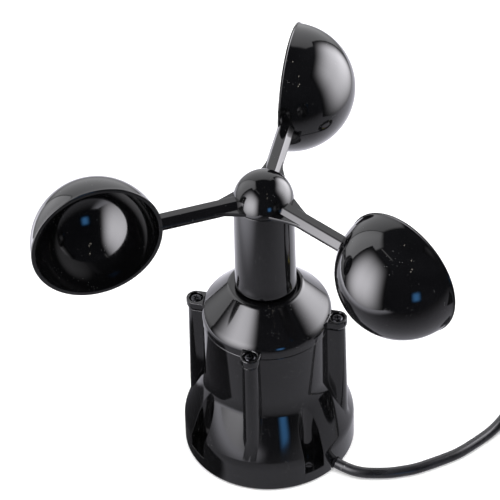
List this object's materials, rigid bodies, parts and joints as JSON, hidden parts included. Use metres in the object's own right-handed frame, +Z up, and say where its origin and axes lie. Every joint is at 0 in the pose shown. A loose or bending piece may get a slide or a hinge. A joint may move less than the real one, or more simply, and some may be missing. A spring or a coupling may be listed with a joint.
{
  "type": "cup anemometer",
  "caption": "Wind-speed sensor with hemispherical cups on a free-spinning hub, over a bell-footed housing with corner screw columns and a floor-laid cable.",
  "frame": {"origin": "middle of the bottom cover's flat underside, on the rotor axis", "axes": "+Z up along the rotor axis; +X and +Y through screw columns, with the cable leaving low near +X"},
  "size_m": [0.2533, 0.1565, 0.1594],
  "materials": {
    "gloss_black_plastic": "high-gloss moulded ABS with faint moulding waviness",
    "cable_jacket": "smooth satin PVC cable jacket",
    "black_rubber": "matte moulded rubber",
    "blackened_steel": "black-oxide steel, satin",
    "bright_steel": "ground steel",
    "brass": "turned brass",
    "board_laminate": "green solder-masked laminate",
    "matte_plastic": "fine matte moulding",
    "white_nylon": "natural nylon",
    "tinned_core": "insulated core wire"
  },
  "bodies": {
    "housing": {"bearing_lower_outer": "bright_steel", "bearing_spacer": "bright_steel", "bearing_upper_outer": "bright_steel", "board_pillar_1": "brass", "board_pillar_2": "brass", "board_pillar_3": "brass", "board_screw_1": "blackened_steel", "board_screw_2": "blackened_steel", "board_screw_3": "blackened_steel", "bottom_cover": "gloss_black_plastic", "cable_coil": "cable_jacket", "cable_grommet": "black_rubber", "cable_run": "cable_jacket", "cable_tail": "cable_jacket", "cable_tie": "white_nylon", "cap_gasket": "black_rubber", "cap_screw_1": "blackened_steel", "cap_screw_2": "blackened_steel", "cap_screw_3": "blackened_steel", "cap_screw_4": "blackened_steel", "circuit_board": "board_laminate", "core_wire_1": "tinned_core", "core_wire_2": "tinned_core", "core_wire_3": "tinned_core", "core_wire_4": "tinned_core", "cover_screw_1": "blackened_steel", "cover_screw_2": "blackened_steel", "cover_screw_3": "blackened_steel", "cover_screw_4": "blackened_steel", "housing_shell": "gloss_black_plastic", "inner_lead": "cable_jacket", "retaining_ring": "blackened_steel", "sensor_fork": "matte_plastic", "terminal_block": "board_laminate", "threaded_insert_1": "brass", "threaded_insert_2": "brass", "threaded_insert_3": "brass", "threaded_insert_4": "brass", "top_cap": "gloss_black_plastic"},
    "rotor": {"arm_1": "gloss_black_plastic", "arm_2": "gloss_black_plastic", "arm_3": "gloss_black_plastic", "cup_1": "gloss_black_plastic", "cup_2": "gloss_black_plastic", "cup_3": "gloss_black_plastic", "hub_dome": "gloss_black_plastic", "rotor_sleeve": "gloss_black_plastic", "hub_core": "matte_plastic", "spindle": "bright_steel", "clamp_washer": "bright_steel", "lock_nut": "bright_steel", "spindle_clip": "blackened_steel", "encoder_disc": "matte_plastic", "encoder_collar": "brass", "bearing_lower_inner": "bright_steel", "bearing_upper_inner": "bright_steel"}
  },
  "joints": [
    {"name": "rotor_spin", "type": "hinge", "parent": "housing", "child": "rotor", "pos_m": [0, 0, 0.132], "axis": [0, 0, 1], "continuous": true}
  ]
}
